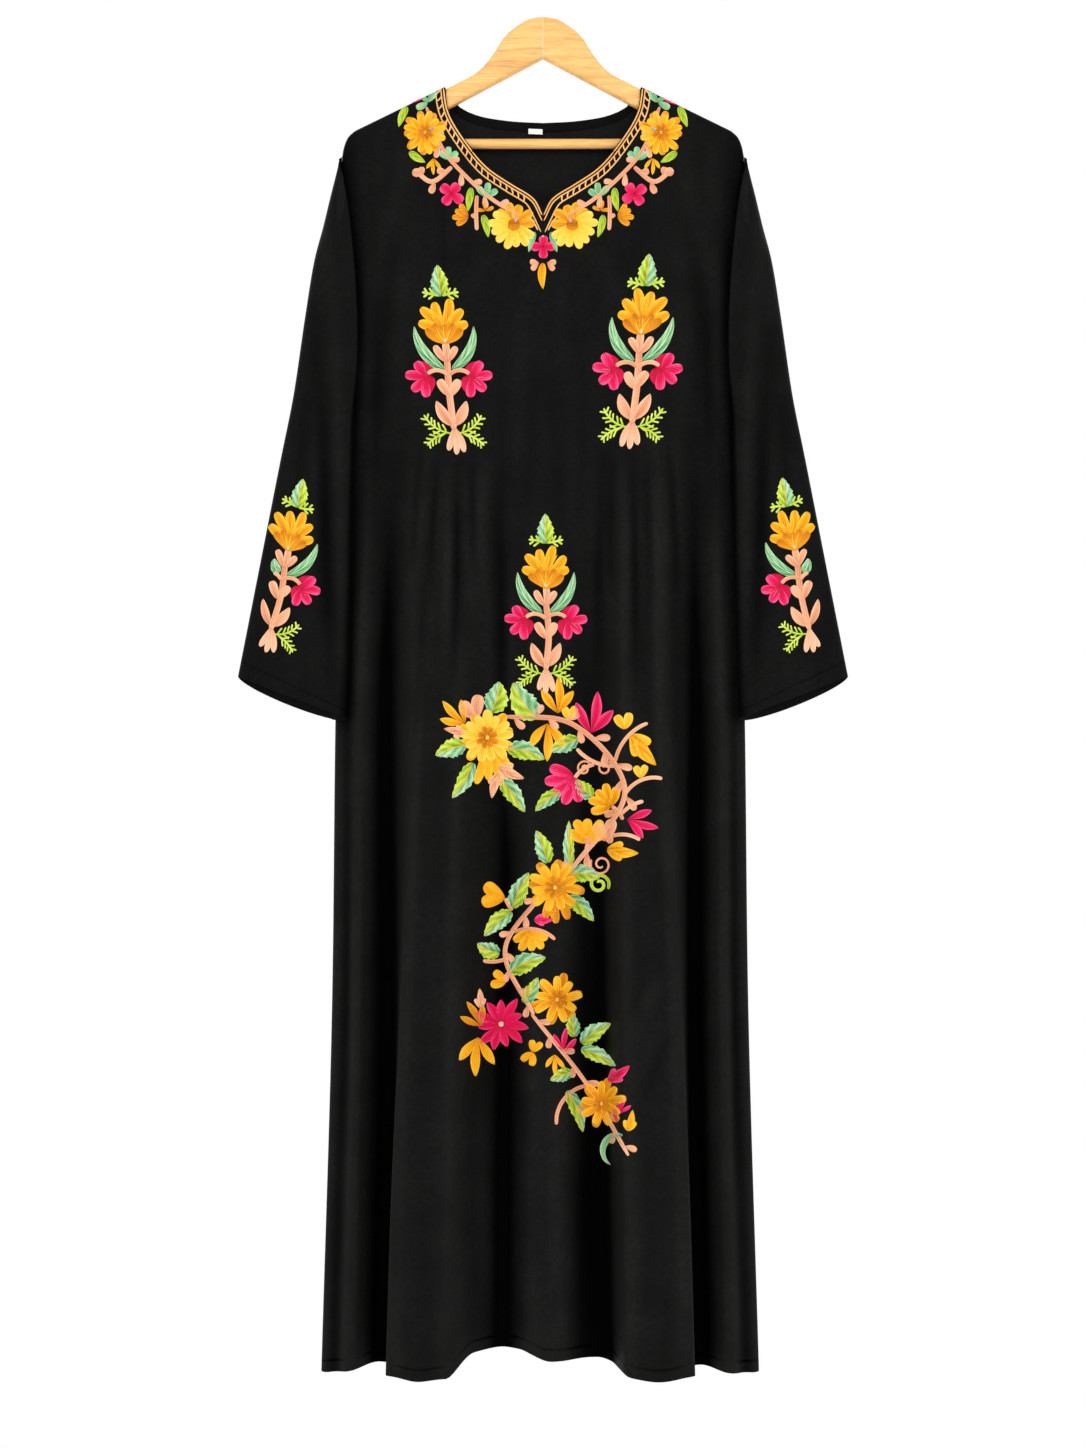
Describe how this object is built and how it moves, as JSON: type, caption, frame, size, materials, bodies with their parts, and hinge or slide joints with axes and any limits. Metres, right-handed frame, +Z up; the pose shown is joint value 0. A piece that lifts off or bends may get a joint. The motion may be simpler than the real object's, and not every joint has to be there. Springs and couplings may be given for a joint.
{
  "type": "kaftan on wooden hanger",
  "caption": "Long black kaftan with a V neck, wide long sleeves and soft falling folds, hanging on a plain wooden hanger with a round bar.",
  "frame": {"origin": "top of the hanger's crown, on its centre line, where a rail or a screwed hook takes the hanger", "axes": "+Z up, front of the garment towards -Y, +X to the right of someone who faces the front"},
  "size_m": [0.6466, 0.1381, 1.434],
  "materials": {
    "black_crepe": "fine matt crepe weave with a soft sheen",
    "white_tape": "plain woven tape",
    "blond_wood": "clear satin varnish over straight grain"
  },
  "bodies": {
    "root": {"front": "black_crepe", "back": "black_crepe", "sleeve_left": "black_crepe", "sleeve_right": "black_crepe", "back_neck_facing": "black_crepe", "label": "white_tape", "hanger_left": "blond_wood", "hanger_right": "blond_wood", "hanger_bar": "blond_wood"}
  },
  "joints": []
}
